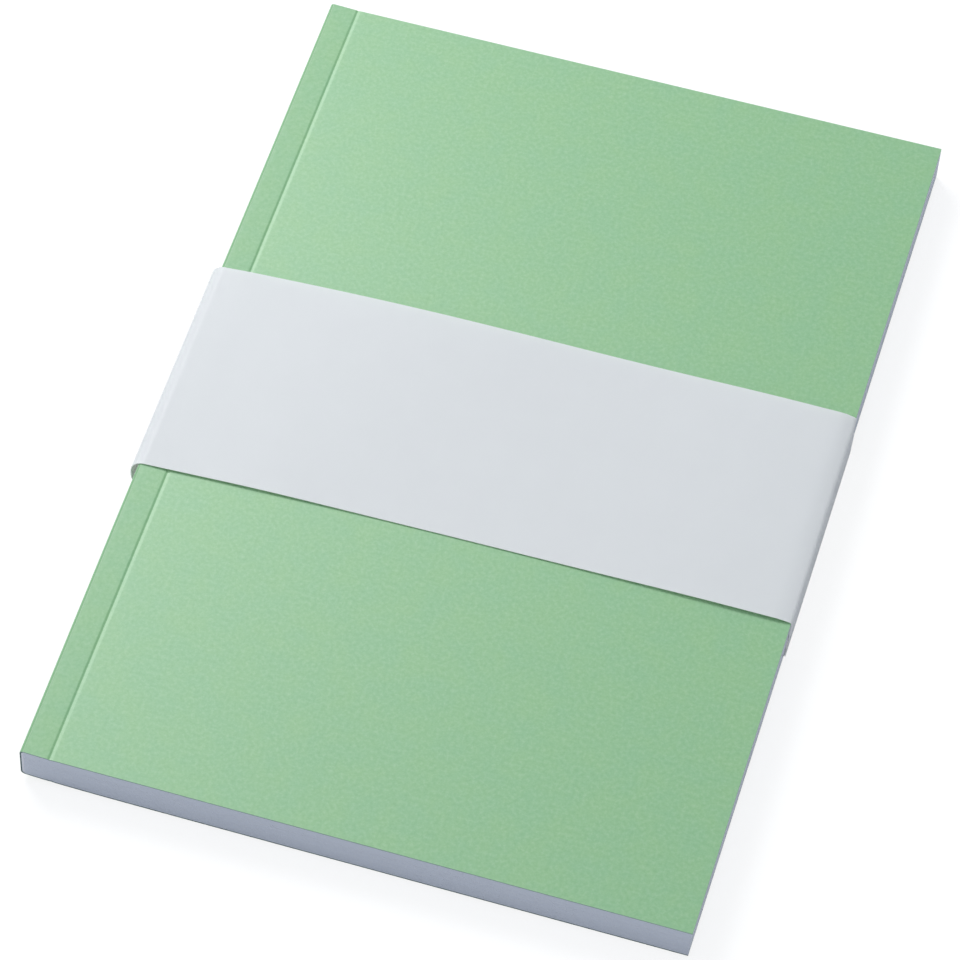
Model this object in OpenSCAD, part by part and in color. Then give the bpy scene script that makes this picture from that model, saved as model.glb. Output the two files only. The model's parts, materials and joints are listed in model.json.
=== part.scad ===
// A5 softcover notepad with a loose paper band round its middle.
// The spine runs along Y at the low X side, head at high Y, front cover up.
// Zero is the middle of the footprint, on the surface that the band lies on.

/* [Notepad] */
// width, spine to fore-edge
book_w = 148; // [90:1:220]
// height, tail to head
book_h = 210; // [140:1:300]

/* [Cover] */
// thickness of the cover card
card_t = 0.35; // [0.25:0.05:0.5]
// distance from the spine to the fold of each cover
score_in = 6.8; // [5:0.1:12]
// width of the pressed score line
score_w = 1.2; // [0.8:0.1:1.8]
// depth of the pressed score line
score_d = 0.15; // [0.08:0.01:0.18]
// radius of the round channel in the bottom of the score line
channel_r = 0.22; // [0.2:0.01:0.24]
// outside radius of the two spine folds
fold_r = 0.8; // [0.6:0.05:0.9]

/* [Leaves] */
// thickness of one leaf
leaf_t = 0.1; // [0.08:0.01:0.14]
// leaves in each pack that turns together
pack_leaves = 4; // [2:1:6]
// air between two packs
pack_gap = 0.01; // [0.005:0.005:0.02]

/* [Glue] */
// thickness of the spine glue
spine_glue_t = 0.5; // [0.4:0.05:0.8]
// thickness of each side glue strip
side_glue_t = 0.05; // [0.03:0.01:0.1]
// distance that the side glue stops short of the fold
side_glue_in = 1.3; // [0.8:0.1:2]

/* [Band] */
// width of the band, along the spine
band_h = 55; // [30:1:120]
// thickness of the band's paper
band_t = 0.15; // [0.1:0.01:0.2]
// air between the band and the front cover
band_over = 0.5; // [0.2:0.05:0.6]
// air between the band and the back cover
band_under = 0.05; // [0.02:0.01:0.1]
// how far the loose band stands off the spine
band_bulge = 2.6; // [1.5:0.1:3]
// air between the band's tab and the fore-edge
band_fore = 0.25; // [0.25:0.05:0.6]
// height of the tab inside the lap
tab_h = 6; // [4:0.5:7]
// outside radius of the turn at the fore-edge
flap_r = 0.7; // [0.5:0.05:0.75]
// air under the turned-down end
flap_lift = 0.05; // [0.02:0.01:0.2]

/* [Lap] */
// thickness of the lap glue
lap_glue_t = 0.04; // [0.02:0.01:0.06]
// air between the lap glue and the turned-down end
lap_gap = 0.22; // [0.2:0.02:0.4]
// distance of the lap glue from the fold and from the tab's top
lap_glue_in = 1; // [0.5:0.1:1.5]

/* [Folds] */
// half of the slit that parts a turning piece from the piece it turns on
slit = 0.02; // [0.01:0.005:0.05]

/* [Hidden] */
$fn = 96;
// The packs of leaves, front to back.
PACKS = [
    "leaves_01", "leaves_02", "leaves_03", "leaves_04", "leaves_05", "leaves_06",
    "leaves_07", "leaves_08", "leaves_09", "leaves_10", "leaves_11", "leaves_12",
    "leaves_13", "leaves_14", "leaves_15", "leaves_16", "leaves_17", "leaves_18",
    "leaves_19", "leaves_20", "leaves_21", "leaves_22", "leaves_23", "leaves_24"
];
// cutters reach this far past what they cut
past = 1;
x_spine = -book_w / 2;
x_fore = book_w / 2;
x_fold = x_spine + score_in;
x_bound = x_spine + card_t + spine_glue_t;
pack_t = leaf_t * pack_leaves;
pitch = pack_t + pack_gap;
z_back = band_t + band_under;
z_block = z_back + card_t;
z_front = z_block + len(PACKS) * pitch + pack_gap;
z_top = z_front + card_t;
z_band = z_top + band_over + band_t;
x_tab = x_fore + band_fore;
x_glue = x_tab + band_t;
x_flap = x_glue + lap_glue_t + lap_gap;
x_turn = x_flap + band_t - flap_r;
score_r = (score_w * score_w / 4 + score_d * score_d) / (2 * score_d);
card_color = [0.60, 0.79, 0.63];
leaf_color = [0.90, 0.90, 0.91];
glue_color = [0.93, 0.90, 0.80];
band_color = [0.95, 0.96, 0.97];

// Draws a flat outline, X across and Z up, out along Y about the middle.
module run_along(length) {
    translate([0, length / 2, 0])
        rotate([90, 0, 0])
            linear_extrude(length) children();
}

// A plain bar between two X and two Z values.
module bar(xa, xb, za, zb, length) {
    translate([xa, -length / 2, za])
        cube([xb - xa, length, zb - za]);
}

// An outline with its two low-X corners rounded.
module rounded_left(xa, xb, za, zb, r) {
    intersection() {
        union() {
            translate([xa + r, za]) square([xb - xa, zb - za]);
            translate([xa, za + r]) square([r, zb - za - 2 * r]);
            translate([xa + r, za + r]) circle(r);
            translate([xa + r, zb - r]) circle(r);
        }
        translate([xa, za]) square([xb - xa, zb - za]);
    }
}

// The pressed line along a fold: a wide shallow hollow with a round channel on the fold itself.
// way is 1 on the front cover and -1 on the back.
module score_cut(z_face, way) {
    translate([x_fold, 0, z_face + way * (score_r - score_d)])
        rotate([90, 0, 0])
            cylinder(h = book_h + 2 * past, r = score_r, center = true);
    translate([x_fold, 0, z_face])
        rotate([90, 0, 0])
            cylinder(h = book_h + 2 * past, r = channel_r, center = true);
}

module front_cover() {
    color(card_color)
        difference() {
            bar(x_fold + slit, x_fore, z_front, z_top, book_h);
            score_cut(z_top, 1);
        }
}

module back_cover() {
    color(card_color)
        difference() {
            bar(x_fold + slit, x_fore, z_back, z_block, book_h);
            score_cut(z_back, -1);
        }
}

module cover_spine() {
    color(card_color)
        difference() {
            run_along(book_h)
                difference() {
                    rounded_left(x_spine, x_fold - slit, z_back, z_top, fold_r);
                    rounded_left(x_spine + card_t, x_fold, z_block, z_front, fold_r - card_t);
                }
            score_cut(z_top, 1);
            score_cut(z_back, -1);
        }
}

module spine_glue() {
    color(glue_color)
        run_along(book_h)
            rounded_left(x_spine + card_t, x_bound, z_block, z_front, fold_r - card_t);
}

module front_side_glue() {
    color(glue_color)
        bar(x_bound, x_fold - side_glue_in, z_front - side_glue_t, z_front, book_h);
}

module back_side_glue() {
    color(glue_color)
        bar(x_bound, x_fold - side_glue_in, z_block, z_block + side_glue_t, book_h);
}

module leaf_margins() {
    color(leaf_color)
        bar(x_bound, x_fold - slit, z_block + side_glue_t, z_front - side_glue_t, book_h);
}

// One pack of leaves, in its place under the front cover.
module leaves(name) {
    z_pack = z_front - (search([name], PACKS)[0] + 1) * pitch;
    color(leaf_color)
        bar(x_fold + slit, x_fore, z_pack, z_pack + pack_t, book_h);
}

module band_front() {
    color(band_color)
        bar(x_spine + slit, x_turn, z_band - band_t, z_band, band_h);
}

module band_flap() {
    color(band_color) {
        run_along(band_h)
            intersection() {
                difference() {
                    translate([x_turn, z_band - flap_r]) circle(flap_r);
                    translate([x_turn, z_band - flap_r]) circle(flap_r - band_t);
                }
                translate([x_turn, z_band - flap_r]) square(flap_r);
            }
        bar(x_flap, x_flap + band_t, flap_lift, z_band - flap_r, band_h);
    }
}

module band_spine() {
    color(band_color)
        run_along(band_h)
            difference() {
                rounded_left(x_spine - band_bulge, x_spine - slit, 0, z_band, band_bulge);
                rounded_left(x_spine - band_bulge + band_t, x_spine + past,
                    band_t, z_band - band_t, band_bulge - band_t);
            }
}

module band_back() {
    color(band_color)
        bar(x_spine + slit, x_tab, 0, band_t, band_h);
}

module band_tab() {
    color(band_color)
        bar(x_tab, x_glue, 0, tab_h, band_h);
}

module band_glue() {
    color(glue_color)
        bar(x_glue, x_glue + lap_glue_t, lap_glue_in, tab_h - lap_glue_in, band_h);
}

front_cover();
cover_spine();
back_cover();
spine_glue();
front_side_glue();
back_side_glue();
leaf_margins();
leaves("leaves_01");  // leaves_01
leaves("leaves_02");  // leaves_02
leaves("leaves_03");  // leaves_03
leaves("leaves_04");  // leaves_04
leaves("leaves_05");  // leaves_05
leaves("leaves_06");  // leaves_06
leaves("leaves_07");  // leaves_07
leaves("leaves_08");  // leaves_08
leaves("leaves_09");  // leaves_09
leaves("leaves_10");  // leaves_10
leaves("leaves_11");  // leaves_11
leaves("leaves_12");  // leaves_12
leaves("leaves_13");  // leaves_13
leaves("leaves_14");  // leaves_14
leaves("leaves_15");  // leaves_15
leaves("leaves_16");  // leaves_16
leaves("leaves_17");  // leaves_17
leaves("leaves_18");  // leaves_18
leaves("leaves_19");  // leaves_19
leaves("leaves_20");  // leaves_20
leaves("leaves_21");  // leaves_21
leaves("leaves_22");  // leaves_22
leaves("leaves_23");  // leaves_23
leaves("leaves_24");  // leaves_24
band_front();
band_flap();
band_spine();
band_back();
band_tab();
band_glue();
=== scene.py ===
import json
import math

import bpy
import numpy as np
from mathutils import Matrix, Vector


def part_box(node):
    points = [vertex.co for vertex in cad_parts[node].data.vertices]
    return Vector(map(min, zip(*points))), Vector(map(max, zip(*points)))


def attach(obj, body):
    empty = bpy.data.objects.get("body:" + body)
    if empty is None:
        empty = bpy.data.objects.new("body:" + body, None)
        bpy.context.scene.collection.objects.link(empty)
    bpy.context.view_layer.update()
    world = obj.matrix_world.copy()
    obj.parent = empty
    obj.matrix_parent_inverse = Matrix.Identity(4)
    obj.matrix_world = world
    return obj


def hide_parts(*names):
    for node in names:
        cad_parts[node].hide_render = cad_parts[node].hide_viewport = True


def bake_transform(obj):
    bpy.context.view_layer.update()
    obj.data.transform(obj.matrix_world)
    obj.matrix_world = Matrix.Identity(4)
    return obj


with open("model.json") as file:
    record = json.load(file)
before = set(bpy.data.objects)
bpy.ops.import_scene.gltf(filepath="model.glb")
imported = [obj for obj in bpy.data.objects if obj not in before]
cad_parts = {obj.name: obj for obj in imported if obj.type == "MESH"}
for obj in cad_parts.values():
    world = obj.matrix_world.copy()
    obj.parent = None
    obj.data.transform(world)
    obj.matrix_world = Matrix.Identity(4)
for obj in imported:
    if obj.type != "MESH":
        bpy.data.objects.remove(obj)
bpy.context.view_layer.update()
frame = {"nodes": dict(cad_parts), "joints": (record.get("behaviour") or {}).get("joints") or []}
mm = 0.001
draws = np.random.default_rng(11)  # one seeded source for every small irregularity
crease = math.radians(40)          # faces that meet at more than this keep a sharp edge
print("notepad: frame loaded with", len(frame["nodes"]), "nodes")


# Lowest and highest corner of a CAD node, in millimetres.
def nodeBox(node):
    low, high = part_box(node)
    return np.array(low) / mm, np.array(high) / mm


frontLow, frontHigh = nodeBox("front_cover")
spineLow, spineHigh = nodeBox("cover_spine")
glueLow, glueHigh = nodeBox("spine_glue")
folds = {j["name"]: np.array(j["pos_m"]) / mm for j in frame["joints"] if j["type"] == "hinge"}

book = {
    "xSpine": spineLow[0],
    "xFore": frontHigh[0],
    "xFold": folds["front_cover_hinge"][0],
    "xBound": glueHigh[0],
    "yTail": frontLow[1],
    "yHead": frontHigh[1],
    "zBack": spineLow[2],
    "zTop": spineHigh[2],
    "card": glueLow[0] - spineLow[0],
    "leanTail": 0.7,   # the stack has slipped: its underside lies this far towards the spine
    "leanHead": 0.4,
    "swell": 0.25,     # the spine is pushed out this far where the band holds it
    "swellAt": 70.0,   # from the tail
    "swellReach": 45.0,
    "rise": 0.35,      # the front of the glued edge stands this far up at the spine
    "liftBack": 0.95,  # and its back this far off the table
    "liftFade": 8.0,   # length over which the back comes down again
}
book["zMid"] = (book["zBack"] + book["zTop"]) / 2


# How far the slipped stack lies towards the spine: nothing at the top, growing evenly to the whole lean
# below, and running evenly from its value at the tail to its value at the head.
def leanAt(y, z):
    depth = np.clip((book["zTop"] - z) / (book["zTop"] - book["zBack"]), 0, 1)
    along = (y - book["yTail"]) / (book["yHead"] - book["yTail"])
    return depth * (book["leanTail"] + (book["leanHead"] - book["leanTail"]) * along)


# Rises smoothly from 0 at low to 1 at high.
def smooth(low, high, x):
    t = np.clip((x - low) / (high - low), 0, 1)
    return t * t * (3 - 2 * t)


# A bump: 1 at the middle, falling like a bell to a third at one reach away.
def bump(x, middle, reach):
    return np.exp(-(((x - middle) / reach) ** 2))


# A pressed line, 1 deep: a straight wall on each side of its middle, each with its own width, rounded at
# the bottom and at the lips by hyperbolas.
def pressed(offset, left, right, soft=0.15):
    out = np.where(offset < 0, offset / left, offset / right)
    down = 1 - np.hypot(out, soft)
    return (down + np.hypot(down, soft)) / 2


# Corner numbers of the quads in a grid of nu rows of nv points, counted from first.
def gridQuads(nu, nv, first=0):
    i, j = np.meshgrid(np.arange(nu - 1), np.arange(nv - 1), indexing="ij")
    a = first + i * nv + j
    return np.stack([a, a + nv, a + nv + 1, a + 1], -1).reshape(-1, 4)


# The inner skin of a sheet: each point of the outer grid moved in by the thickness, against the
# grid's normal, which is the cross product of its two directions.
def innerSkin(outer, thickness):
    across = np.cross(np.gradient(outer, axis=0), np.gradient(outer, axis=1))
    return outer - thickness * across / np.linalg.norm(across, axis=-1, keepdims=True)


# One closed sheet: the outer grid, the inner grid turned over, and a rim of quads round all four borders.
def sheetParts(outer, inner, first=0):
    nu, nv = outer.shape[:2]
    index = first + np.arange(nu * nv).reshape(nu, nv)
    under = index + nu * nv
    skins = np.concatenate([gridQuads(nu, nv, first), gridQuads(nu, nv, first + nu * nv)[:, ::-1]])
    borders = [
        (index[::-1, 0], under[::-1, 0]),
        (index[:, -1], under[:, -1]),
        (index[0], under[0]),
        (index[-1, ::-1], under[-1, ::-1]),
    ]
    rims = np.concatenate([np.stack([t[:-1], t[1:], u[1:], u[:-1]], -1) for t, u in borders])
    points = np.concatenate([outer.reshape(-1, 3), inner.reshape(-1, 3)])
    return points, skins, rims


# Writes a number or a place for each point of a mesh, for its materials to read. It stays with the paper
# when that bends.
def mark(mesh, name, values):
    kind, field = ("FLOAT", "value") if values.ndim == 1 else ("FLOAT_VECTOR", "vector")
    attribute = mesh.attributes.new(name, kind, "POINT")
    attribute.data.foreach_set(field, values.astype(np.float32).ravel())


# A finished piece from closed sheets given in millimetres. The rims take the last material.
def makePiece(name, sheets, materials):
    points, faces, slots = [], [], []
    count = 0
    for outer, inner in sheets:
        sheetPoints, skins, rims = sheetParts(outer, inner, count)
        points.append(sheetPoints)
        faces += [skins, rims]
        slots += [np.zeros(len(skins), int), np.full(len(rims), len(materials) - 1)]
        count += len(sheetPoints)
    mesh = bpy.data.meshes.new(name)
    places = np.concatenate(points) * mm
    mesh.from_pydata(places.tolist(), [], np.concatenate(faces).tolist())
    mark(mesh, "restPlace", places)
    mesh.polygons.foreach_set("material_index", np.concatenate(slots))
    mesh.polygons.foreach_set("use_smooth", np.ones(len(mesh.polygons), bool))
    mesh.set_sharp_from_angle(angle=crease)
    for material in materials:
        mesh.materials.append(material)
    mesh.update()
    piece = bpy.data.objects.new(name, mesh)
    bpy.context.scene.collection.objects.link(piece)
    return piece


# An sRGB hex colour as the linear values that Blender wants, by the sRGB curve.
def linear(hexColour):
    s = np.array([int(hexColour[i : i + 2], 16) for i in (1, 3, 5)]) / 255
    value = np.where(s <= 0.04045, s / 12.92, ((s + 0.055) / 1.055) ** 2.4)
    return (*value.tolist(), 1.0)


# Adds one node to a tree, with its settings, socket values and links.
def addNode(tree, kind, values=(), links=(), **settings):
    node = tree.nodes.new(kind)
    for key, value in settings.items():
        setattr(node, key, value)
    for socket, value in dict(values).items():
        node.inputs[socket].default_value = value
    for socket, source in dict(links).items():
        tree.links.new(source, node.inputs[socket])
    return node


# An empty material with its tree, its shader and the place on the closed notepad that patterns read.
def startMaterial(name):
    material = bpy.data.materials.new(name)
    material.use_nodes = True
    tree = material.node_tree
    shader = tree.nodes["Principled BSDF"]
    place = addNode(tree, "ShaderNodeAttribute", attribute_name="restPlace").outputs["Vector"]
    return material, tree, shader, place


# Noise scale per metre for a pattern whose features are this many millimetres across.
def perMetre(size):
    return 1 / (size * mm)


cardLook = {
    "green": "#8AB98B",
    "yellowGreen": "#8EBB87",
    "blueGreen": "#86B88F",
    "tintShare": 0.35,
    "tintRange": (0.35, 0.65),   # noise values that turn the tint from one to the other
    "pale": "#A4C9A4",
    "dark": "#75A977",
    "paleRange": (0.5, 0.75),    # noise values where the pale fibres come in
    "darkRange": (0.5, 0.25),
    "fibreShare": 0.4,
    "cloud": 7.0,                # mm, the cloudy look of the pulp
    "fibre": 0.9,                # mm, fibres are finer: drawn coarse enough to show
    "tooth": 0.6,                # mm, grain that is felt, drawn coarse enough to show
    "toothDepth": 0.007,
    "roughness": 0.38,
    "ior": 1.49,
    "paintedShade": "#6C9D6E",         # painted shade, a darker green along the spine folds and in the score
    "paintedShadeAt": 0.62,            # mm in from the spine, on the spine folds
    "paintedShadeWidth": 0.6,          # mm to each side
    "paintedShadeShare": 0.75,
    "pressedAt": -0.36,          # mm from the fold, on the wall of the score that faces away from the light: painted shade, and burnished by the tool
    "pressedWidth": 0.32,
    "pressedShare": 0.3,
    "lipAt": 0.22,               # mm from the fold, on the wall of the score that faces the light: a painted highlight
    "lipWidth": 0.4,
    "lipShare": 0.3,
    "edge": "#97ADA6",
    "edgeShade": "#829B95",
    "edgeRoughness": 0.8,
    "soil": "#34494F",           # painted shade on the cut edges, towards the table and beside the spine
    "shadeOnEdgeShare": 0.9,
    "shadeOnEdgeWidth": 0.8,            # mm, how far it goes in from the spine
    "shadeOnEdgeRange": (0.3, 0.55),    # noise values over which it comes in
    "soilLeast": 0.5,
}


# Pulp-dyed card, calendered on a hard roll: one green right through, faintly cloudy where the dye took
# unevenly, mottled by its fibres, with a low broad sheen towards the light. Painted shade darkens it along
# the spine folds, over the highlight that their roll catches, and on the score's wall that faces away from
# the light, which the tool also burnished; a painted highlight makes the score's other wall, which faces
# the light, paler.
def makeDyedCard():
    material, tree, shader, place = startMaterial("dyedCard")
    cloud = addNode(tree, "ShaderNodeTexNoise",
                    {"Scale": perMetre(cardLook["cloud"]), "Detail": 3.0, "Roughness": 0.6},
                    {"Vector": place})
    fibre = addNode(tree, "ShaderNodeTexNoise",
                    {"Scale": perMetre(cardLook["fibre"]), "Detail": 3.0, "Roughness": 0.6},
                    {"Vector": place})
    tooth = addNode(tree, "ShaderNodeTexNoise",
                    {"Scale": perMetre(cardLook["tooth"]), "Detail": 2.0}, {"Vector": place})
    yellowest, bluest = cardLook["tintRange"]
    hue = addNode(tree, "ShaderNodeMapRange", {"From Min": yellowest, "From Max": bluest},
                  {"Value": cloud.outputs["Fac"]})
    tint = addNode(tree, "ShaderNodeMix",
                   {6: linear(cardLook["yellowGreen"]), 7: linear(cardLook["blueGreen"])},
                   {0: hue.outputs["Result"]}, data_type="RGBA")
    colour = addNode(tree, "ShaderNodeMix", {0: cardLook["tintShare"], 6: linear(cardLook["green"])},
                     {7: tint.outputs[2]}, data_type="RGBA")
    for shade in ("pale", "dark"):
        least, most = cardLook[shade + "Range"]
        share = addNode(tree, "ShaderNodeMapRange",
                        {"From Min": least, "From Max": most, "To Max": cardLook["fibreShare"]},
                        {"Value": fibre.outputs["Fac"]})
        colour = addNode(tree, "ShaderNodeMix", {7: linear(cardLook[shade])},
                         {0: share.outputs["Result"], 6: colour.outputs[2]}, data_type="RGBA")
    fromFold = addNode(tree, "ShaderNodeAttribute", attribute_name="fromFold").outputs["Fac"]
    spineFromFold = book["xSpine"] - book["xFold"]
    # Painted shade along the spine folds, over the highlight that their roll catches, and on the score's
    # wall away from the light; a painted highlight on the score's wall towards the light.
    for kind, middle, shade in (
        ("paintedShade", spineFromFold + cardLook["paintedShadeAt"], "paintedShade"),
        ("pressed", cardLook["pressedAt"], "paintedShade"),
        ("lip", cardLook["lipAt"], "pale"),
    ):
        offset = addNode(tree, "ShaderNodeMath", {1: middle}, {0: fromFold}, operation="SUBTRACT")
        distance = addNode(tree, "ShaderNodeMath", links={0: offset.outputs[0]}, operation="ABSOLUTE")
        share = addNode(tree, "ShaderNodeMapRange",
                        {"From Min": cardLook[kind + "Width"], "From Max": 0.0,
                         "To Max": cardLook[kind + "Share"]},
                        {"Value": distance.outputs[0]}, interpolation_type="SMOOTHSTEP")
        colour = addNode(tree, "ShaderNodeMix", {7: linear(cardLook[shade])},
                         {0: share.outputs["Result"], 6: colour.outputs[2]}, data_type="RGBA")
    grain = addNode(tree, "ShaderNodeBump", {"Strength": 1.0, "Distance": cardLook["toothDepth"] * mm},
                    {"Height": tooth.outputs["Fac"]})
    shader.inputs["Roughness"].default_value = cardLook["roughness"]
    shader.inputs["IOR"].default_value = cardLook["ior"]
    tree.links.new(colour.outputs[2], shader.inputs["Base Color"])
    tree.links.new(grain.outputs["Normal"], shader.inputs["Normal"])
    return material


# The same card where it was cut: the open fibres take light in, so it is darker and greyer, in short
# streaks. Painted shade darkens it further in blots towards the table and beside the spine.
def makeCardEdge():
    material, tree, shader, place = startMaterial("guillotinedCardEdge")
    streak = addNode(tree, "ShaderNodeTexNoise", {"Scale": perMetre(cardLook["fibre"]), "Detail": 2.0},
                     {"Vector": place})
    colour = addNode(tree, "ShaderNodeMix", {6: linear(cardLook["edge"]), 7: linear(cardLook["edgeShade"])},
                     {0: streak.outputs["Fac"]}, data_type="RGBA")
    # Painted shade: darker towards the table and close beside the spine, broken into blots by the streak
    # noise.
    spot = addNode(tree, "ShaderNodeSeparateXYZ", links={0: place})
    low = addNode(tree, "ShaderNodeMapRange",
                  {"From Min": book["zMid"] * mm, "From Max": book["zBack"] * mm,
                   "To Max": cardLook["shadeOnEdgeShare"]},
                  {"Value": spot.outputs["Z"]}, interpolation_type="SMOOTHSTEP")
    shadeOnEdgeEnd = book["xSpine"] + cardLook["shadeOnEdgeWidth"]
    bySpine = addNode(tree, "ShaderNodeMapRange",
                      {"From Min": shadeOnEdgeEnd * mm, "From Max": book["xSpine"] * mm,
                       "To Max": cardLook["shadeOnEdgeShare"]},
                      {"Value": spot.outputs["X"]}, interpolation_type="SMOOTHSTEP")
    either = addNode(tree, "ShaderNodeMath", links={0: low.outputs["Result"], 1: bySpine.outputs["Result"]},
                     operation="MAXIMUM")
    least, most = cardLook["shadeOnEdgeRange"]
    blot = addNode(tree, "ShaderNodeMapRange",
                   {"From Min": least, "From Max": most, "To Min": cardLook["soilLeast"]},
                   {"Value": streak.outputs["Fac"]})
    soil = addNode(tree, "ShaderNodeMath", links={0: either.outputs[0], 1: blot.outputs["Result"]},
                   operation="MULTIPLY")
    shadedEdgeColour = addNode(tree, "ShaderNodeMix", {7: linear(cardLook["soil"])},
                     {0: soil.outputs[0], 6: colour.outputs[2]}, data_type="RGBA")
    shader.inputs["Roughness"].default_value = cardLook["edgeRoughness"]
    tree.links.new(shadedEdgeColour.outputs[2], shader.inputs["Base Color"])
    return material


leafLook = {
    "sheet": "#EEF0F1",
    "shade": "#E6E9EC",
    "formation": 6.0,             # mm, clouds of thicker and thinner pulp
    "tooth": 0.4,                 # mm
    "toothDepth": 0.004,
    "edge": "#CBD1DE",
    "edgeShade": "#C0C7D6",
    "streak": 1.0,                # mm, before it is drawn out along the stack
    "drawnOut": (0.05, 0.05, 3.0),
    "roughness": 0.7,
    "ior": 1.45,
}


# Woodfree writing paper, machine finished: near white, faintly cloudy, dull all over.
def makeWritingPaper():
    material, tree, shader, place = startMaterial("writingPaper")
    cloud = addNode(tree, "ShaderNodeTexNoise",
                    {"Scale": perMetre(leafLook["formation"]), "Detail": 3.0}, {"Vector": place})
    tooth = addNode(tree, "ShaderNodeTexNoise",
                    {"Scale": perMetre(leafLook["tooth"]), "Detail": 3.0}, {"Vector": place})
    colour = addNode(tree, "ShaderNodeMix", {6: linear(leafLook["sheet"]), 7: linear(leafLook["shade"])},
                     {0: cloud.outputs["Fac"]}, data_type="RGBA")
    grain = addNode(tree, "ShaderNodeBump", {"Strength": 1.0, "Distance": leafLook["toothDepth"] * mm},
                    {"Height": tooth.outputs["Fac"]})
    shader.inputs["Roughness"].default_value = leafLook["roughness"]
    shader.inputs["IOR"].default_value = leafLook["ior"]
    tree.links.new(colour.outputs[2], shader.inputs["Base Color"])
    tree.links.new(grain.outputs["Normal"], shader.inputs["Normal"])
    return material


# The same paper where the guillotine cut it: cooler, with long faint streaks along the stack.
def makeCutEdge():
    material, tree, shader, place = startMaterial("guillotinedPaperEdge")
    stretch = addNode(tree, "ShaderNodeMapping", {"Scale": leafLook["drawnOut"]}, {"Vector": place})
    streak = addNode(tree, "ShaderNodeTexNoise", {"Scale": perMetre(leafLook["streak"]), "Detail": 3.0},
                     {"Vector": stretch.outputs["Vector"]})
    colour = addNode(tree, "ShaderNodeMix", {6: linear(leafLook["edge"]), 7: linear(leafLook["edgeShade"])},
                     {0: streak.outputs["Fac"]}, data_type="RGBA")
    shader.inputs["Roughness"].default_value = leafLook["roughness"]
    shader.inputs["IOR"].default_value = leafLook["ior"]
    tree.links.new(colour.outputs[2], shader.inputs["Base Color"])
    return material


bandLook = {
    "white": "#F0F2F6",
    "shade": "#EDEFF3",
    "glow": "#F5F5F2",
    "through": 0.35,   # share of the light that goes into the sheet instead of off it
    "formation": 9.0,  # mm
    "tooth": 0.5,      # mm
    "toothDepth": 0.002,
    "roughness": 0.42,
    "ior": 1.42,
}


# Smooth wove paper, supercalendered: cool white, almost even, with a soft silk gloss, and thin enough to
# glow on its shaded side.
def makeBandPaper():
    material, tree, shader, place = startMaterial("smoothWovePaper")
    cloud = addNode(tree, "ShaderNodeTexNoise",
                    {"Scale": perMetre(bandLook["formation"]), "Detail": 4.0}, {"Vector": place})
    tooth = addNode(tree, "ShaderNodeTexNoise",
                    {"Scale": perMetre(bandLook["tooth"]), "Detail": 2.0}, {"Vector": place})
    colour = addNode(tree, "ShaderNodeMix", {6: linear(bandLook["white"]), 7: linear(bandLook["shade"])},
                     {0: cloud.outputs["Fac"]}, data_type="RGBA")
    grain = addNode(tree, "ShaderNodeBump", {"Strength": 1.0, "Distance": bandLook["toothDepth"] * mm},
                    {"Height": tooth.outputs["Fac"]})
    shader.inputs["Roughness"].default_value = bandLook["roughness"]
    shader.inputs["IOR"].default_value = bandLook["ior"]
    tree.links.new(colour.outputs[2], shader.inputs["Base Color"])
    tree.links.new(grain.outputs["Normal"], shader.inputs["Normal"])
    through = addNode(tree, "ShaderNodeBsdfTranslucent", {"Color": linear(bandLook["glow"])})
    sheet = addNode(tree, "ShaderNodeMixShader", {0: bandLook["through"]},
                    {1: shader.outputs[0], 2: through.outputs[0]})
    tree.links.new(sheet.outputs[0], tree.nodes["Material Output"].inputs["Surface"])
    return material


glueLook = {
    "melt": "#D2D5DF",
    "meltShade": "#C6CAD6",
    "meltRoughness": 0.35,
    "paste": "#EFEDE6",
    "pasteShade": "#E4E0D4",
    "pasteRoughness": 0.45,
    "blot": 1.5,  # mm
}


# Dried glue: the binding's is clear-white and waxy, the paste thin and off-white. Both dried in soft blots.
def makeGlue(name, kind):
    material, tree, shader, place = startMaterial(name)
    blot = addNode(tree, "ShaderNodeTexNoise", {"Scale": perMetre(glueLook["blot"]), "Detail": 2.0},
                   {"Vector": place})
    colour = addNode(tree, "ShaderNodeMix",
                     {6: linear(glueLook[kind]), 7: linear(glueLook[kind + "Shade"])},
                     {0: blot.outputs["Fac"]}, data_type="RGBA")
    shader.inputs["Roughness"].default_value = glueLook[kind + "Roughness"]
    tree.links.new(colour.outputs[2], shader.inputs["Base Color"])
    return material


dyedCard = makeDyedCard()
cardEdge = makeCardEdge()
writingPaper = makeWritingPaper()
cutEdge = makeCutEdge()
bandPaper = makeBandPaper()
hotMelt = makeGlue("hotMeltGlue", "melt")
paste = makeGlue("driedPaste", "paste")
print("notepad: seven materials")


# How far the glued edge stands up. In front the rise falls evenly from the spine to the fold, at the back
# it dies away exponentially, and in between it changes evenly with the height.
def riseAt(x, z):
    height = np.clip((z - book["zBack"]) / (book["zTop"] - book["zBack"]), 0, 1)
    front = book["rise"] * np.clip((book["xFold"] - x) / (book["xFold"] - book["xSpine"]), 0, 1)
    back = book["liftBack"] * np.exp(-np.maximum(x - book["xSpine"], 0) / book["liftFade"])
    return height * front + (1 - height) * back


# How far the spine swells out: a bell along its length, fading to nothing between the spine and the folds.
def swellAt(x, y):
    bell = bump(y - book["yTail"], book["swellAt"], book["swellReach"])
    return book["swell"] * bell * (1 - smooth(book["xSpine"], book["xFold"], x))


# Points of the straight notepad moved to where they lie in the handled one, by its lean, swell and rise.
def handled(x, y, z):
    return np.stack([x - leanAt(y, z) - swellAt(x, y), y, z + riseAt(x, z)], -1)


# A grid of points, path by length: the path in x and z swept along y, then handled.
def sweepAlongY(x, z, y):
    return handled(*np.broadcast_arrays(x[:, None], y[None, :], z[:, None]))


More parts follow.
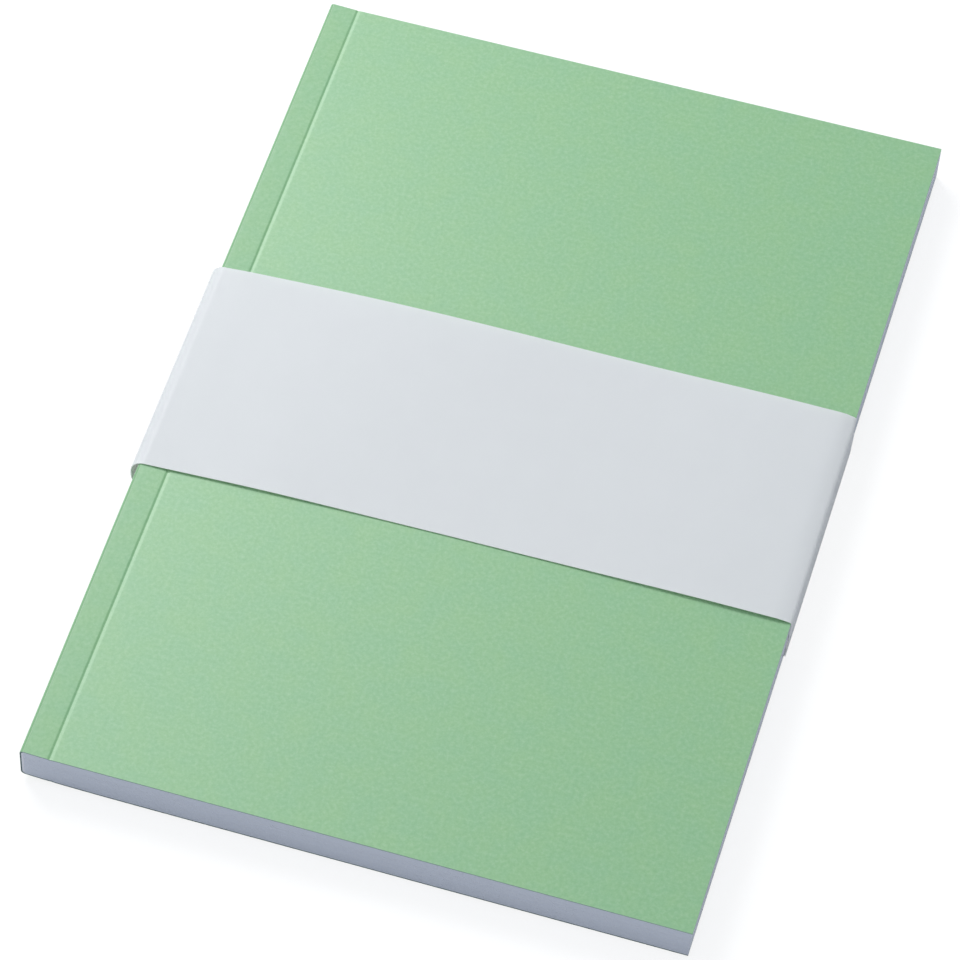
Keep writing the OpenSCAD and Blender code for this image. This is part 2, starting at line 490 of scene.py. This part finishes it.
cover = {
    "foldRadius": 0.95,   # outside of the two spine folds
    "scoreSteep": 0.48,   # width of the score's wall towards the spine
    "scoreEasy": 0.68,    # and of the wall towards the fore-edge
    "scoreDepth": 0.155,
    "scoreAt": -0.12,     # middle of the score from the line that the cover turns on
    "scoreReach": 1.5,    # the fine rows reach this many times the easy wall to each side
    "bend": 0.7,          # half of the strip that bends when a cover opens
    "spineRows": 12,
    "foldRows": 13,
    "stripRows": 8,
    "scoreRows": 49,
    "boardRows": 32,
    "columns": 25,
}


# Half of the cover's outer skin, seen from the tail: up the spine from its middle, a quarter circle round
# the fold, then flat to the fore-edge with the score pressed in. The back half is that path mirrored top to
# bottom and walked from the fore-edge, so that its faces point outwards too. The path's distance from the
# fold comes with the grid.
def coverSkin(front):
    r, w = cover["foldRadius"], cover["scoreReach"] * cover["scoreEasy"]
    xs, xf = book["xSpine"], book["xFold"]
    rise = np.linspace(book["zMid"], book["zTop"] - r, cover["spineRows"])
    turn = np.linspace(np.pi, np.pi / 2, cover["foldRows"])[1:]
    run = np.concatenate([
        np.linspace(xs + r, xf - w, cover["stripRows"])[1:],
        np.linspace(xf - w, xf + w, cover["scoreRows"])[1:],
        np.linspace(xf + w, book["xFore"], cover["boardRows"])[1:],
    ])
    x = np.concatenate([np.full(len(rise), xs), xs + r + r * np.cos(turn), run])
    z = np.concatenate([rise, book["zTop"] - r + r * np.sin(turn), np.full(len(run), book["zTop"])])
    fromFold = x - xf
    score = pressed(fromFold - cover["scoreAt"], cover["scoreSteep"], cover["scoreEasy"])
    z = z - cover["scoreDepth"] * score
    y = np.linspace(book["yTail"], book["yHead"], cover["columns"])
    if front:
        return sweepAlongY(x, z, y), fromFold
    return sweepAlongY(x[::-1], (book["zTop"] + book["zBack"] - z)[::-1], y), fromFold[::-1]


for name, board, front in (("coverFront", "front_cover", True), ("coverBack", "back_cover", False)):
    skin, fromFold = coverSkin(front)
    piece = makePiece(name, [(skin, innerSkin(skin, book["card"]))], [dyedCard, cardEdge])
    mark(piece.data, "fromFold", np.tile(np.repeat(fromFold, cover["columns"]), 2))
    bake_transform(piece)
    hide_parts(board, "cover_spine")
print("notepad: cover")


leaf = {
    "perPack": 4,
    "share": 0.96,      # paper in each leaf's share of the pack, the rest is air
    "cutError": 0.012,  # how far a cut edge strays
    "dentFade": 1.6,    # depth at which the press of the score has faded
    "bendFrom": -2.0,   # from the fold, where the leaves start to turn
    "bendTo": 12.0,
    "fineFrom": -3.0,   # from the fold, where the mesh is finer for that
    "fineTo": 14.0,
    "gluedRows": 4,
    "fineRows": 27,
    "flatRows": 10,
    "columns": 5,
}


# How far a leaf is pressed by the two score lines: a hollow over the fold that fades with depth.
def scoreDent(x, z):
    press = cover["scoreDepth"] * pressed(x - book["xFold"], cover["scoreEasy"], cover["scoreEasy"])
    fromTop = np.exp(-(book["zTop"] - book["card"] - z) / leaf["dentFade"])
    fromBack = np.exp(-(z - book["zBack"] - book["card"]) / leaf["dentFade"])
    return press * (fromBack - fromTop)


# One leaf as two flat grids, its top and its underside, from the glued edge to the fore-edge, shifted
# by the lean of the stack, pressed by the score lines and cut a hair out of line on three sides.
def leafSkins(top, thickness):
    fore, head, tail = draws.normal(0, leaf["cutError"], 3)
    near, far = book["xFold"] + leaf["fineFrom"], book["xFold"] + leaf["fineTo"]
    x = np.concatenate([
        np.linspace(book["xBound"], near, leaf["gluedRows"])[:-1],
        np.linspace(near, far, leaf["fineRows"])[:-1],
        np.linspace(far, book["xFore"] + fore, leaf["flatRows"]),
    ])
    y = np.linspace(book["yTail"] + tail, book["yHead"] + head, leaf["columns"])
    return [sweepAlongY(x, z + scoreDent(x, z), y) for z in (top, top - thickness)]


packs = sorted(n for n in frame["nodes"] if n.startswith("leaves_"))
for pack in packs:
    low, high = nodeBox(pack)
    pitch = (high[2] - low[2]) / leaf["perPack"]
    tops = high[2] - pitch * np.arange(leaf["perPack"])
    sheets = [leafSkins(top, leaf["share"] * pitch) for top in tops]
    piece = makePiece(pack + "_paper", sheets, [writingPaper, cutEdge])
    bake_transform(piece)
    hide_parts(pack, "leaf_margins")
print("notepad:", len(packs) * leaf["perPack"], "leaves in", len(packs), "packs")


glue = {
    "seep": 0.3,       # how far the side glue's free edge wanders
    "seepEvery": 9.0,
    "seepWaves": ((0.6, 1.0, 0.0), (0.4, 2.3, 1.0)),  # share, how many times as often, where it starts
    "spineRows": 12,
    "spineColumns": 40,
    "sideRows": 6,
    "sideColumns": 160,
}


# The layer on the spine: a slab between the cover's spine and the glued edges of the leaves, grid of
# height by length, leaning with the stack. Its outer face is lower, to fill the rounded folds.
def spineGlueSkins():
    z = np.linspace(glueLow[2], glueHigh[2], glue["spineRows"])
    y = np.linspace(glueLow[1], glueHigh[1], glue["spineColumns"])
    half = (glueHigh[2] - glueLow[2]) / 2
    lower = 1 - (cover["foldRadius"] - book["card"]) / half
    outer = sweepAlongY(np.full(len(z), glueLow[0]), book["zMid"] + lower * (z - book["zMid"]), y)
    return [outer, sweepAlongY(np.full(len(z), glueHigh[0]), z, y)]


# A side strip: a thin slab whose edge towards the fold wanders by two waves of different length.
def sideGlueSkins(node):
    low, high = nodeBox(node)
    y = np.linspace(low[1], high[1], glue["sideColumns"])
    step = 2 * np.pi / glue["seepEvery"]
    waves = sum(share * np.sin(often * step * y + start) for share, often, start in glue["seepWaves"])
    wander = glue["seep"] * (waves - 1)
    x = low[0] + np.linspace(0, 1, glue["sideRows"])[:, None] * (high[0] + wander - low[0])
    return [handled(x, np.broadcast_to(y, x.shape), np.full(x.shape, z)) for z in (high[2], low[2])]


for name, node, skins in (
    ("spineGlue", "spine_glue", spineGlueSkins()),
    ("sideGlueFront", "front_side_glue", sideGlueSkins("front_side_glue")),
    ("sideGlueBack", "back_side_glue", sideGlueSkins("back_side_glue")),
):
    piece = makePiece(name, [skins], [hotMelt])
    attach(piece, "binding")
    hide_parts(node)
print("notepad: binding glue")


bandLow, bandHigh = nodeBox("band_front")
underLow, underHigh = nodeBox("band_back")
lapLow, lapHigh = nodeBox("band_glue")
band = {
    "width": bandHigh[1] - bandLow[1],
    "paper": underHigh[2] - underLow[2],
    "foot": underLow[2],
    "flapFoot": nodeBox("band_flap")[0][2],
    "tabTop": nodeBox("band_tab")[1][2],
    "centreSpine": -2.05,           # the loop has turned: this far off the middle at the spine and below
    "centreFore": 0.22,             # and here at the fore-edge of the front
    "settle": 42.0,                 # length over which it comes straight
    "goesBack": 0.15,               # and it turns back by this much at the fore-edge
    "goesBackOver": (-28.0, 2.0),   # from the fore-edge
    "riseFade": 9.0,                # length over which it comes down from the rise by the spine
    "shoulder": 1.5,                # from the spine, where the front length begins to turn down
    "bulge": 2.2,                   # how far it stands off the spine
    "spineCurve": 2.4,              # 2 is an ellipse, more is boxier
    "gapRest": 0.17,                # air over the cover where it lies closest
    "nearLift": (0.3, 28.0, 18.0),  # air under the near edge by the spine: height, middle, reach
    "farLift": (1.1, 46.0, 48.0),   # air under the far edge, the same way
    "foreLift": (0.5, 10.0, 30.0),  # air before the fore-edge, measured from that edge
    "foreTwist": 0.6,               # share by which that is more under the far edge
    "liftOver": (-6.0, 8.0),        # from the spine, where all this air comes in
    "comeDown": 3.6,                # length over which the air runs out at the fore-edge
    "turn": 0.6,                    # reach of the rounded turn at the fore-edge
    "turnCurve": 2.3,
    "standOff": 0.22,               # outside of the turned-down end from the fore-edge, at its top
    "standOffLow": 0.38,            # and where it laps the tab
    "lapStart": 1.6,                # over the tab's top, where it starts to stand off
    "tabOff": 0.18,                 # outside of the tab from the fore-edge
    "tabCorner": 0.4,
    "bendFrom": -0.4,               # from the spine's edge, where an opening band starts to bend
    "bendTo": 2.1,
    "fine": 4.0,                    # length of the finer rows beside the bend
    "spineRows": 28,
    "fineRows": 17,
    "frontRows": 80,
    "backRows": 60,
    "turnRows": 34,
    "flapRows": 14,
    "tabRows": 10,
    "cornerRows": 9,
    "columns": 25,
}


# Air between the cover and the band. side runs from 0 at the near edge to 1 at the far edge. Each edge has
# a bell of its own near the spine, and both share a lift before the fore-edge, which runs out there in a
# parabola.
def bandGap(x, side):
    fromSpine = x - book["xSpine"]
    toFore = book["xFore"] - x
    nearHeight, nearMiddle, nearReach = band["nearLift"]
    farHeight, farMiddle, farReach = band["farLift"]
    foreHeight, foreMiddle, foreReach = band["foreLift"]
    near = nearHeight * bump(fromSpine, nearMiddle, nearReach) * (1 - side)
    far = farHeight * bump(fromSpine, farMiddle, farReach) * side
    fore = foreHeight * bump(np.maximum(toFore, foreMiddle), foreMiddle, foreReach)
    fore = fore * (1 + band["foreTwist"] * side)
    runOut = 1 - (1 - np.clip(toFore / band["comeDown"], 0, 1)) ** 2
    return band["gapRest"] + smooth(*band["liftOver"], fromSpine) * (near + far + fore * runOut)


# Height of the band's outer skin over the front of a flat cover: the cover, the air and the paper.
def bandTop(x, side):
    return book["zTop"] + bandGap(x, side) + band["paper"]


# Points of the band moved with the notepad that it holds: by its lean, and by the rise of its glued edge,
# which the band follows more softly than the cover does.
def bandPlaced(x, y, z):
    height = np.clip((z - book["zBack"]) / (book["zTop"] - book["zBack"]), 0, 1)
    lift = height * book["rise"] + (1 - height) * book["liftBack"]
    rise = lift * np.exp(-np.maximum(x - book["xSpine"], 0) / band["riseFade"])
    return np.stack([x - leanAt(y, z), y, z + rise], -1)


# Where the middle of the band's width lies: off the middle at the spine, coming straight along the front.
def bandCentre(x):
    fromSpine = np.maximum(x - book["xSpine"], 0)
    straight = np.exp(-fromSpine / band["settle"])
    back = band["goesBack"] * smooth(*band["goesBackOver"], x - book["xFore"])
    return band["centreFore"] + (band["centreSpine"] - band["centreFore"]) * straight - back


# A quarter of a rounded corner, as shares across and up that follow a superellipse from (1, 0) to (0, 1).
def roundedQuarter(count, curve):
    t = np.linspace(0, np.pi / 2, count)
    return np.cos(t) ** (2 / curve), np.sin(t) ** (2 / curve)


# The front half of the band's outer skin: up from the middle of the spine round a superellipse, over the
# cover with its air gap, round a small superellipse at the fore-edge, then down the turned-down end,
# which draws in a little and goes back to the place across the width that it has at the spine.
def bandFrontSkin():
    side = np.linspace(0, 1, band["columns"])[None, :]
    out, up = roundedQuarter(band["spineRows"], band["spineCurve"])
    xTop = book["xSpine"] + band["shoulder"]
    shoulderZ = bandTop(xTop, side)
    xSpine = (xTop - (band["bulge"] + band["shoulder"]) * out)[:, None] + 0 * side
    zSpine = book["zMid"] + (shoulderZ - book["zMid"]) * up[:, None]
    xEnd = book["xFore"] + band["standOff"]
    xTurn = xEnd - band["turn"]
    xFine = xTop + band["fine"]
    xOver = np.concatenate([
        np.linspace(xTop, xFine, band["fineRows"])[1:],
        np.linspace(xFine, xTurn, band["frontRows"])[1:],
    ])
    xOver = xOver[:, None] + 0 * side
    zOver = bandTop(xOver, side)
    back, down = roundedQuarter(band["turnRows"], band["turnCurve"])
    xRound = (xTurn + band["turn"] * down[1:])[:, None] + 0 * side
    zRound = bandTop(xRound, side) - band["turn"] * (1 - back[1:, None])
    foot = np.linspace(0, 1, band["flapRows"])[1:, None]
    zFlap = zRound[-1] + (band["flapFoot"] - zRound[-1]) * foot
    low = smooth(band["tabTop"] + band["lapStart"], band["tabTop"], zFlap)
    xFlap = xEnd + (band["standOffLow"] - band["standOff"]) * low
    x = np.concatenate([xSpine, xOver, xRound, xFlap])
    z = np.concatenate([zSpine, zOver, zRound, zFlap])
    drop = np.concatenate([0 * xSpine, 0 * xOver, 0 * xRound, foot + 0 * side])
    centre = bandCentre(x) * (1 - drop) + band["centreSpine"] * drop
    y = centre + (side - 0.5) * band["width"]
    return bandPlaced(x, y, z)


# The back half of the outer skin, walked from the tab at the fore-edge: down the tab, round a small corner
# that is a quarter circle, along under the book and up the lower half of the spine's superellipse.
def bandBackSkin():
    r = band["tabCorner"]
    out, up = roundedQuarter(band["spineRows"], band["spineCurve"])
    xBottom = book["xSpine"] + band["shoulder"]
    xSpine = xBottom - (band["bulge"] + band["shoulder"]) * out[::-1]
    zSpine = book["zMid"] + (band["foot"] - book["zMid"]) * up[::-1]
    corner = np.linspace(0, np.pi / 2, band["cornerRows"])
    xTab = book["xFore"] + band["tabOff"]
    zUp = np.linspace(band["tabTop"], band["foot"] + r, band["tabRows"])[:-1]
    xFine = xBottom + band["fine"]
    xRun = np.concatenate([
        np.linspace(xTab - r, xFine, band["backRows"])[1:],
        np.linspace(xFine, xBottom, band["fineRows"])[1:-1],
    ])
    x = np.concatenate([np.full(len(zUp), xTab), xTab - r + r * np.cos(corner), xRun, xSpine])
    zCorner = band["foot"] + r - r * np.sin(corner)
    z = np.concatenate([zUp, zCorner, np.full(len(xRun), band["foot"]), zSpine])
    y = band["centreSpine"] + np.linspace(-0.5, 0.5, band["columns"]) * band["width"]
    return bandPlaced(*np.broadcast_arrays(x[:, None], y[None, :], z[:, None]))


for name, skin, body, nodes in (
    ("bandFront", bandFrontSkin(), "band_front", ("band_front", "band_flap", "band_spine")),
    ("bandBack", bandBackSkin(), "band_back", ("band_back", "band_tab", "band_spine")),
):
    piece = makePiece(name, [(skin, innerSkin(skin, band["paper"]))], [bandPaper])
    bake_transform(piece)
    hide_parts(*nodes)


lap = {
    "thickness": 0.02,  # pressed thinner than it was laid
    "rows": 8,
    "columns": 40,
}


# The lap's glue: a thin strip on the outside of the tab, a grid of height by width.
def lapGlueSkins():
    z = np.linspace(lapHigh[2], lapLow[2], lap["rows"])
    y = band["centreSpine"] + np.linspace(lapLow[1], lapHigh[1], lap["columns"])
    xTab = book["xFore"] + band["tabOff"]
    return [sweepAlongY(np.full(len(z), x), z, y) for x in (xTab + lap["thickness"], xTab)]


lapGlue = makePiece("lapGlue", [lapGlueSkins()], [paste])
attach(lapGlue, "band_back")
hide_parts("band_glue")
print("notepad: band")


stage = {
    "floorSize": 8000.0,
    "floorDrop": 0.03,   # the floor lies this far under the band, so that the two don't share a face
    "floorColour": "#F2F3F4",
    "floorGlow": 0.35,
    "seeThrough": 0.7,   # share of the floor that the camera looks through, so the shadow stays faint
    "sky": "#EEF3FA",
    "skyLevel": 0.58,
    "backdrop": "#FFFFFF",
}

# A floor that lights the object as plain pale board does. To the camera it is mostly clear, over a white
# world, so it reads as white and still holds the soft shadow. From below it isn't there, so that a cover
# that opens past it is lit too.
floorMaterial = bpy.data.materials.new("paleFloor")
floorMaterial.use_nodes = True
tree = floorMaterial.node_tree
tree.nodes.clear()
path = addNode(tree, "ShaderNodeLightPath")
board = addNode(tree, "ShaderNodeBsdfDiffuse", {"Color": linear(stage["floorColour"])})
glow = addNode(tree, "ShaderNodeEmission", {"Strength": stage["floorGlow"]})
lit = addNode(tree, "ShaderNodeAddShader", links={0: board.outputs[0], 1: glow.outputs[0]})
clear = addNode(tree, "ShaderNodeBsdfTransparent")
seen = addNode(tree, "ShaderNodeMixShader", {0: stage["seeThrough"]},
               {1: lit.outputs[0], 2: clear.outputs[0]})
above = addNode(tree, "ShaderNodeMixShader",
                links={0: path.outputs["Is Camera Ray"], 1: board.outputs[0], 2: seen.outputs[0]})
below = addNode(tree, "ShaderNodeNewGeometry").outputs["Backfacing"]
oneSided = addNode(tree, "ShaderNodeMixShader", links={0: below, 1: above.outputs[0], 2: clear.outputs[0]})
addNode(tree, "ShaderNodeOutputMaterial", links={"Surface": oneSided.outputs[0]})

half = stage["floorSize"] / 2
sides = ((-half, -half), (half, -half), (half, half), (-half, half))
corners = np.array([(x, y, -stage["floorDrop"]) for x, y in sides])
floorMesh = bpy.data.meshes.new("floor")
floorMesh.from_pydata((corners * mm).tolist(), [], [(0, 1, 2, 3)])
floorMesh.materials.append(floorMaterial)
floor = bpy.data.objects.new("floor", floorMesh)
bpy.context.scene.collection.objects.link(floor)

# A soft pale sky that lights the object, and plain white wherever it is seen, mirrored or looked through.
world = bpy.data.worlds.new("studio")
bpy.context.scene.world = world
world.use_nodes = True
tree = world.node_tree
tree.nodes.clear()
path = addNode(tree, "ShaderNodeLightPath")
shown = addNode(tree, "ShaderNodeMath", operation="MAXIMUM",
                links={0: path.outputs["Is Camera Ray"], 1: path.outputs["Is Glossy Ray"]})
white = addNode(tree, "ShaderNodeMath", operation="MAXIMUM",
                links={0: shown.outputs[0], 1: path.outputs["Is Transmission Ray"]})
sky = addNode(tree, "ShaderNodeBackground", {"Color": linear(stage["sky"]), "Strength": stage["skyLevel"]})
backdrop = addNode(tree, "ShaderNodeBackground", {"Color": linear(stage["backdrop"]), "Strength": 1.0})
mixed = addNode(tree, "ShaderNodeMixShader",
                links={0: white.outputs[0], 1: sky.outputs[0], 2: backdrop.outputs[0]})
addNode(tree, "ShaderNodeOutputWorld", links={"Surface": mixed.outputs[0]})


# Turns an object so that its own axes are the given right, up and back directions.
def turnTo(target, right, up, back):
    matrix = np.eye(4)
    matrix[:3, :3] = np.stack([right, up, back], 1)
    matrix[:3, 3] = target.location
    target.matrix_world = Matrix(matrix.tolist())


# Right, up and back directions of something that looks from a direction: right is level, up is square to
# both, and the two are then rolled about the line of sight.
def looking(back, roll=0.0):
    right = np.cross((0, 0, 1), back)
    right = right / np.linalg.norm(right)
    up = np.cross(back, right)
    c, s = math.cos(roll), math.sin(roll)
    return c * right + s * up, c * up - s * right, back


# Direction from an azimuth and an elevation in degrees, the azimuth from +X towards +Y.
def direction(azimuth, elevation):
    a, e = math.radians(azimuth), math.radians(elevation)
    return np.array([math.cos(a) * math.cos(e), math.sin(a) * math.cos(e), math.sin(e)])


# Distance and size are metres, power is watts.
lamps = {
    "softbox": {"azimuth": 136.0, "elevation": 48.0, "distance": 1.2, "size": 0.54, "power": 8.9},
    "side": {"azimuth": 188.0, "elevation": 24.0, "distance": 1.0, "size": 0.5, "power": 0.8},
}
for name, lamp in lamps.items():
    light = bpy.data.lights.new(name, "AREA")
    light.shape = "SQUARE"
    light.size = lamp["size"]
    light.energy = lamp["power"]
    lightObject = bpy.data.objects.new(name, light)
    toLamp = direction(lamp["azimuth"], lamp["elevation"])
    lightObject.location = toLamp * lamp["distance"]
    turnTo(lightObject, *looking(toLamp))
    bpy.context.scene.collection.objects.link(lightObject)

shot = {
    "azimuth": -71.423,     # over the tail, a little towards the fore-edge
    "elevation": 57.555,
    "roll": -1.525,
    "distance": 989.0,
    "aimRight": -4.51,      # the camera stands this far beside the line to the middle of the back cover
    "aimUp": -3.67,
    "focalPixels": 4435.9,  # focal length in pixels of the photograph
    "imagePixels": 960,
    "sensor": 36.0,
    "clip": (0.05, 50.0),   # metres
}
right, up, back = looking(direction(shot["azimuth"], shot["elevation"]), math.radians(shot["roll"]))
middle = np.array([0, 0, book["zBack"]])
cameraData = bpy.data.cameras.new("camera")
cameraData.sensor_width = shot["sensor"]
cameraData.lens = shot["focalPixels"] / shot["imagePixels"] * shot["sensor"]
cameraData.clip_start, cameraData.clip_end = shot["clip"]
camera = bpy.data.objects.new("camera", cameraData)
camera.location = (middle + shot["aimRight"] * right + shot["aimUp"] * up + shot["distance"] * back) * mm
turnTo(camera, right, up, back)
bpy.context.scene.collection.objects.link(camera)
bpy.context.scene.camera = camera
bpy.context.scene.view_settings.view_transform = "Standard"
print("notepad: stage, light and camera")
